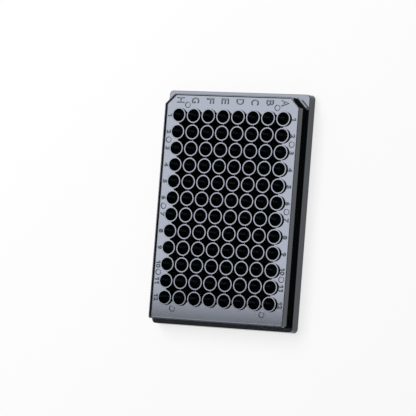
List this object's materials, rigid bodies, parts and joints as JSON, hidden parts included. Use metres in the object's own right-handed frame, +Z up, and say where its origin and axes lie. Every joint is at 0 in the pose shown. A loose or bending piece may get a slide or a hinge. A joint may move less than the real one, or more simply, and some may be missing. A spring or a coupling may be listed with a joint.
{
  "type": "well plate",
  "caption": "Black moulded microplate of free-standing round wells in a shallow tray-like frame, with a raised rim, a ledge and skirt, and two keyed corners at one end.",
  "frame": {"origin": "middle of the footprint, on the surface that the skirt stands on", "axes": "+X along the rows of wells from column 1 to column 12, +Y towards row A, +Z up out of the wells"},
  "size_m": [0.1278, 0.0854, 0.0143],
  "materials": {
    "black_polystyrene": "moulded black polystyrene, smooth with a soft gloss"
  },
  "bodies": {
    "root": {"well_plate": "black_polystyrene"}
  },
  "joints": []
}
